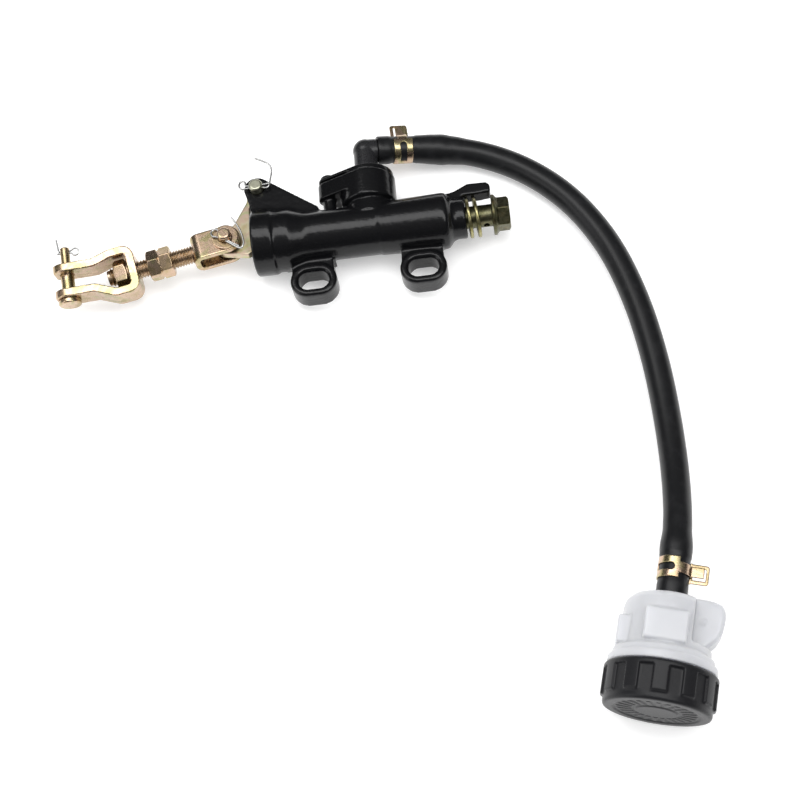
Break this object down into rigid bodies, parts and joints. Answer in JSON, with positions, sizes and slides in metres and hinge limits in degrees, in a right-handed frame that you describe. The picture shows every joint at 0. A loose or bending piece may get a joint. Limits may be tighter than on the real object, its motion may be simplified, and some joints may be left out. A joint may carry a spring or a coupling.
{
  "type": "motorcycle rear brake master cylinder",
  "caption": "Rear foot-brake master cylinder with a pull lever, adjustable clevis rod, rubber hose and translucent remote fluid reservoir with a screw cap.",
  "frame": {"origin": "centre of the two-slot bolt pattern on the back face of the mounting lugs", "axes": "+X along the cylinder towards its fluid outlet, +Y from the lugs towards the fluid inlet, +Z out of the slotted face of the lugs"},
  "size_m": [0.2636, 0.285, 0.0432],
  "materials": {
    "cast_black": "gloss black paint on cast aluminium",
    "zinc_yellow": "yellow zinc plate on pressed steel",
    "zinc_pin": "clear zinc plate",
    "black_oxide": "black oxide",
    "wire_steel": "bright drawn wire",
    "piston_alloy": "hard anodised",
    "zinc_olive": "olive drab zinc plate",
    "washer_olive": "olive gold zinc plate on steel, sealing rubber inside",
    "rubber_black": "moulded rubber",
    "hose_rubber": "extruded rubber hose",
    "elbow_plastic": "black glass-filled plastic",
    "cup_plastic": "milky translucent plastic",
    "cap_plastic": "black plastic"
  },
  "bodies": {
    "cylinder": {"cylinder_body": "cast_black", "stop_washer": "zinc_pin", "circlip": "black_oxide", "dust_boot": "rubber_black", "return_spring": "wire_steel", "inlet_grommet": "rubber_black", "inlet_elbow": "elbow_plastic", "elbow_retainer": "cast_black", "elbow_screw": "black_oxide", "banjo_bolt": "zinc_olive", "crush_washers": "washer_olive", "reservoir_hose": "hose_rubber", "hose_clamp_upper": "zinc_yellow", "hose_clamp_lower": "zinc_yellow", "reservoir_body": "cup_plastic", "reservoir_ear": "cup_plastic", "pivot_pin": "zinc_pin", "pivot_split_pin": "wire_steel"},
    "lever": {"lever": "zinc_yellow"},
    "piston": {"piston": "piston_alloy", "primary_cup": "rubber_black", "secondary_cup": "rubber_black"},
    "pull_rod": {"link_bracket": "zinc_yellow", "link_pin": "zinc_pin", "link_washer": "zinc_yellow", "link_split_pin": "wire_steel", "threaded_rod": "zinc_yellow", "lock_nuts": "zinc_yellow", "spring_washer": "zinc_yellow", "fork_nut": "zinc_yellow", "rod_clevis": "zinc_yellow", "clevis_pin": "zinc_yellow", "clevis_split_pin": "zinc_yellow"},
    "cap_seal": {"diaphragm": "rubber_black", "diaphragm_plate": "cap_plastic"},
    "cap": {"reservoir_cap": "cap_plastic"}
  },
  "joints": [
    {"name": "lever_swing", "type": "hinge", "parent": "cylinder", "child": "lever", "pos_m": [-0.0459, 0.0458, 0.009], "axis": [0, 0, 1], "range_deg": [0, 15], "stiffness_Nm_per_rad": 1.6, "springref_deg": -17.19},
    {"name": "piston_slide", "type": "slide", "parent": "cylinder", "child": "piston", "axis": [1, 0, 0], "range_m": [0, 0.0075], "deforming": ["return_spring"]},
    {"name": "link_swing", "type": "hinge", "parent": "lever", "child": "pull_rod", "pos_m": [-0.061, 0.0232, 0.009], "axis": [0, 0, 1], "range_deg": [-25, 25]},
    {"name": "cap_lift", "type": "slide", "parent": "cylinder", "child": "cap_seal", "axis": [-0.2689, -0.9632, 0], "range_m": [0, 0.008]},
    {"name": "cap_turn", "type": "hinge", "parent": "cap_seal", "child": "cap", "pos_m": [0.1049, -0.1628, 0.0161], "axis": [-0.2689, -0.9632, 0], "range_deg": [0, 720]}
  ],
  "couplings": [
    {"joint": "piston_slide", "follows": "lever_swing", "m_per_rad": 0.0243},
    {"joint": "cap_lift", "follows": "cap_turn", "m_per_rad": 0.00063662}
  ]
}
